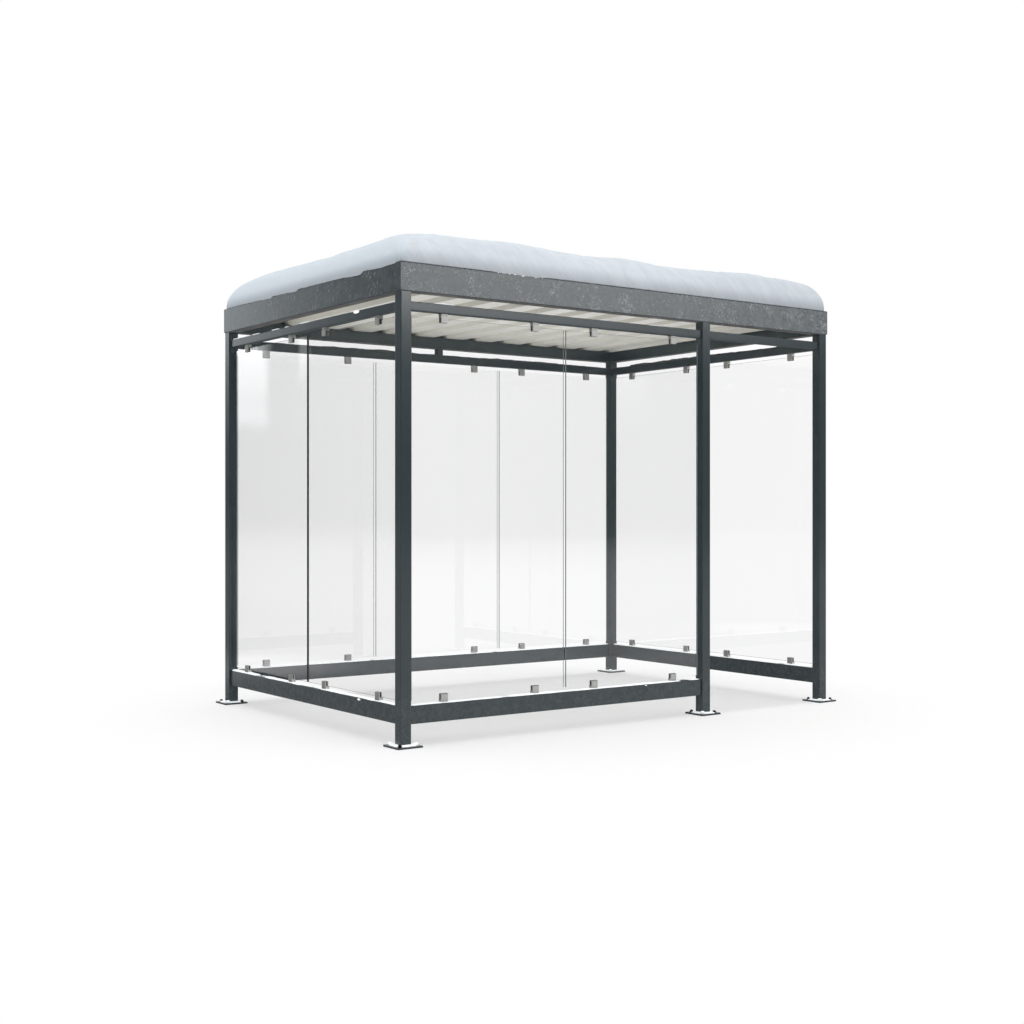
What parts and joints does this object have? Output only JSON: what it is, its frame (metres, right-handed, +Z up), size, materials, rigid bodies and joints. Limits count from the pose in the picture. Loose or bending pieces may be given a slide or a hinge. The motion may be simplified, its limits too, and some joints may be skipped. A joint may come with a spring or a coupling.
{
  "type": "smoking shelter",
  "caption": "Open-fronted smoking shelter: steel box-section frame on base plates, clamped frameless glass walls, doorway, flat ribbed-sheet roof behind a fascia, topped with snow.",
  "frame": {"origin": "on the floor, in the middle of the plan over the base plates", "axes": "+X to the right along the front, seen from outside; +Y to the back; +Z up"},
  "size_m": [3.396, 2.341, 2.8023],
  "materials": {
    "frame_steel": "fine-textured powder coat, anthracite grey, satin",
    "fascia_steel": "weathered dark grey coating with pale frost specks",
    "roof_sheet": "cream coil coating, satin",
    "glass": "clear toughened glass, polished edges",
    "clamp_steel": "satin stainless steel",
    "gasket": "matt black rubber",
    "snow": "matt white snow, soft and slightly grained"
  },
  "bodies": {
    "root": {"post_front_left": "frame_steel", "post_door": "frame_steel", "post_front_right": "frame_steel", "post_back_left": "frame_steel", "post_back_right": "frame_steel", "base_plate_front_left": "frame_steel", "base_plate_door": "frame_steel", "base_plate_front_right": "frame_steel", "base_plate_back_left": "frame_steel", "base_plate_back_right": "frame_steel", "bottom_rail_front": "frame_steel", "bottom_rail_right": "frame_steel", "bottom_rail_back": "frame_steel", "bottom_rail_left": "frame_steel", "top_rail_front": "frame_steel", "top_rail_door": "frame_steel", "top_rail_right": "frame_steel", "top_rail_back": "frame_steel", "top_rail_left": "frame_steel", "roof_spacer_back": "frame_steel", "roof_beam_front": "frame_steel", "roof_beam_right": "frame_steel", "roof_beam_back": "frame_steel", "roof_beam_left": "frame_steel", "fascia_front": "fascia_steel", "fascia_right": "fascia_steel", "fascia_back": "fascia_steel", "fascia_left": "fascia_steel", "roof_sheet": "roof_sheet", "glass_front_1": "glass", "glass_front_2": "glass", "glass_right_1": "glass", "glass_right_2": "glass", "glass_back_1": "glass", "glass_back_2": "glass", "glass_back_3": "glass", "glass_left_1": "glass", "glass_left_2": "glass", "clamps_front": "clamp_steel", "clamps_right": "clamp_steel", "clamps_back": "clamp_steel", "clamps_left": "clamp_steel", "glass_gaskets": "gasket", "roof_snow": "snow"}
  },
  "joints": []
}
